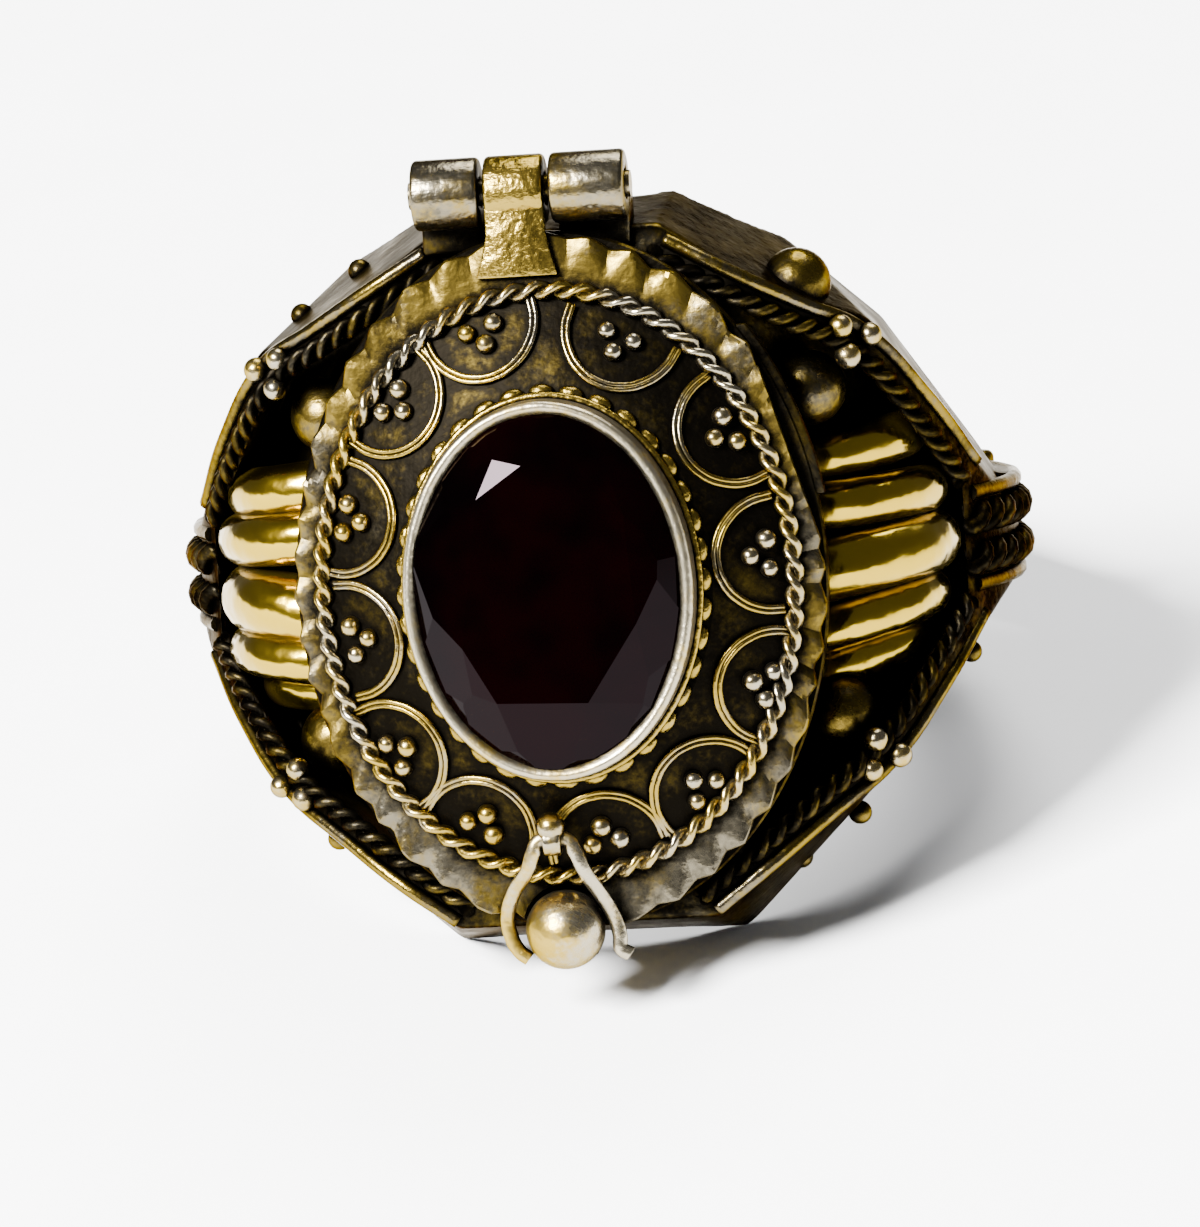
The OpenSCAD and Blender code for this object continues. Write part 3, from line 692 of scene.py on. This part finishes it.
# Curls and granules: on the field stand twelve bent wires, each doubled and open towards the rope, with
# three granules in the bend. None is placed quite evenly, because they were laid by hand.
triads = ((5.37, 0.5), (4.6, 3.7), (1.99, 6.2), (-1.53, 6.6), (-3.9, 4.9), (-5.25, 1.98),
          (-5.25, -1.14), (-4.4, -4.15), (-2.32, -6.1), (0.83, -6.6), (3.44, -5.45), (5.2, -2.86))
curls, granules = [], []
for x, y in triads:
    out = math.atan2(y / rope_b ** 2, x / rope_a ** 2)
    x, y = x + 0.35 * math.cos(out), y + 0.35 * math.sin(out)
    for r in (1.43, 1.555):
        line = []
        for j in range(9):
            turn = out + math.radians(88 + 184 * j / 8)
            px, py = x + r * math.cos(turn), y + r * math.sin(turn)
            line.append((px, py, field_z(px, py) + 0.1))
        curls.append(plain_wire(path(line), 0.075, 2))
    for forward, across in ((-0.64, 0.0), (-0.21, 0.37), (-0.21, -0.37)):
        px = x + forward * math.cos(out) - across * math.sin(out)
        py = y + forward * math.sin(out) + across * math.cos(out)
        size = 0.262 + chance.uniform(-0.02, 0.02)
        granules.append(drop(size, (px, py, field_z(px, py) + 0.11), sides=20))
curl_silver = oxidised("curl wire", shine=1.0, gilt=0.8, rough=0.18, hollow_mm=0.2, seed=9.0)
lay_down(together(curls), "curls", "lid", curl_silver)
lay_down(together(granules), "granules", "lid", bright_silver)

# Stone's mount: a wall of bright silver strip, burnished over the stone's edge, with a wire and a row of
# small flattened beads round its foot.
mount = loft([(3.6, 4.75, 14.5), (3.75, 4.9, 14.6), (3.75, 4.9, 15.9), (3.735, 4.885, 16.08),
              (3.68, 4.83, 16.17), (3.6, 4.75, 16.2), (3.52, 4.67, 16.18), (3.44, 4.59, 16.12),
              (3.39, 4.54, 16.05), (3.49, 4.64, 16.04), (3.49, 4.64, 15.7), (3.1, 4.25, 15.7),
              (3.1, 4.25, 14.5)], closed=False)
only(mount)
bpy.ops.object.mode_set(mode="EDIT")
bpy.ops.mesh.select_all(action="DESELECT")
bpy.ops.mesh.select_non_manifold()
bpy.ops.mesh.bridge_edge_loops()
bpy.ops.mesh.select_all(action="SELECT")
bpy.ops.mesh.normals_make_consistent(inside=False)
bpy.ops.object.mode_set(mode="OBJECT")
mount_silver = oxidised("burnished mount", shine=2.0, gilt=0.3, rough=0.3, hollow_mm=0.7, seed=4.0)
lay_down(mount, "stone_mount", "lid", mount_silver, 40)
foot = [plain_wire(oval_path(3.81, 4.96, 15.12), 0.11)]
for i in range(36):
    x, y, out = oval_place(3.75, 4.9, i / 36, 0.14)
    bead = drop(0.27, (0, 0, 0), 0.8, 20)
    bead.scale, bead.rotation_euler, bead.location = (0.8, 1.25, 1), (0, 0, out), (x, y, 14.76)
    only(bead)
    bpy.ops.object.transform_apply()
    foot.append(bead)
lay_down(together(foot), "mount_foot", "lid", gilt_silver)

# Stone: a near-black red garnet. Its stars, kites and halves are ground one after the other from an oval
# blank, and its eight-sided table isn't quite even, as in a stone cut by hand.
stone_a, stone_b, girdle, table_z, point_z = 3.45, 4.58, 16.03, 16.78, 13.96
stone = oval(stone_a, stone_b, point_z, table_z, 64)
corners = [(1.15, 3.2), (-0.4, 3.3), (-1.6, 2.5), (-2.2, -1.3),
           (-1.4, -2.75), (0.95, -2.85), (2.3, -0.9), (2.15, 1.9)]
star_slope, half_slope, girdle_wide = math.radians(20), math.radians(42), 0.12


def grind(way, slope, x, y, z):
    across = math.sin(slope)
    slice_off(stone, (x, y, z), (math.cos(way) * across, math.sin(way) * across, math.cos(slope)))


def rim_point(way):
    far = math.hypot(stone_a * math.cos(way), stone_b * math.sin(way))
    return far, stone_a ** 2 * math.cos(way) / far, stone_b ** 2 * math.sin(way) / far


for i, (x, y) in enumerate(corners):
    next_x, next_y = corners[(i + 1) % 8]
    way = math.atan2(y / stone_b ** 2, x / stone_a ** 2)
    far = rim_point(way)[0]
    grind(way, math.atan2(table_z - girdle, far - x * math.cos(way) - y * math.sin(way)), x, y, table_z)
    grind(math.atan2(x - next_x, next_y - y), star_slope, x, y, table_z)
    for aside_deg in (-11, 11):
        half = way + math.radians(aside_deg)
        grind(half, half_slope, *rim_point(half)[1:], girdle)
for i in range(16):
    way = math.pi * (i + 0.5) / 8
    far, rim_x, rim_y = rim_point(way)
    under = girdle - girdle_wide
    grind(way, math.pi - math.atan2(under - point_z, far), rim_x, rim_y, under)
garnet, at, shader = finish("garnet", IOR=1.76, Specular_IOR_Level=0.02, Specular_Tint=(1.0, 0.75, 0.85, 1))
depth = at.noise(2.0).between(0.3, 0.7)
feed(shader, Base_Color=depth.mix((0.0001, 0.00002, 0.00003, 1), (0.0006, 0.00003, 0.00005, 1)),
     Roughness=at.noise(0.3).between(0.3, 0.7) * 0.03)
lay_down(stone, "cut_stone", "lid", garnet, 3)
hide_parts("stone")

# Catch: a flat wire bent to a hairpin, swinging in a small eye on the lid. Its legs close round the ball on
# the ring, and their springy ends snap past it when the lid is shut.
eye_y, eye_z = -6.55, 14.85
eye = [tube(-0.68, -0.22, eye_y, eye_z, 0.4, 0.23, 0.06),
       block((-0.66, eye_y - 0.22, eye_z - 0.9), (-0.24, eye_y + 0.22, eye_z - 0.3)),
       drop(0.38, (-0.47, eye_y + 0.36, eye_z + 0.1))]
carve(eye[2], tube(-2, 2, eye_y, eye_z, 0.24, 0.01, 0.001))
lay_down(together(eye), "catch_eye", "lid", bright_silver, 40)
bends = [(-1.36, -9.72, 0.35), (-1.6, -9.52, 0.35), (-1.8, -9.1, 0.36), (-1.84, -8.55, 0.42),
         (-1.6, -7.9, 0.68), (-1.16, -7.3, 1.1), (-0.98, -6.85, 1.2), (-0.8, -6.55, 1.2),
         (-0.45, -6.55, 1.2), (-0.1, -6.55, 1.2), (0.10, -6.85, 1.2), (0.32, -7.4, 1.1),
         (0.66, -8.1, 0.66), (0.92, -8.7, 0.4), (1.04, -9.2, 0.35), (1.06, -9.55, 0.34),
         (1.28, -9.72, 0.3)]
line = path([(x, y, z + flange_z) for x, y, z in bends])
line.data.twist_mode = "Z_UP"
bpy.ops.curve.primitive_bezier_circle_add(radius=1)
section = bpy.context.object
section.scale = (0.195, 0.15, 1)
bpy.ops.object.transform_apply()
for knot in section.data.splines[0].bezier_points:
    knot.radius = 1.0
line.data.bevel_mode, line.data.bevel_object = "OBJECT", section
fork = plain_wire(line, 0.0)
bpy.data.objects.remove(section, do_unlink=True)
lay_down(fork, "catch_wire", "catch", ball_silver)
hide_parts("catch_fork")
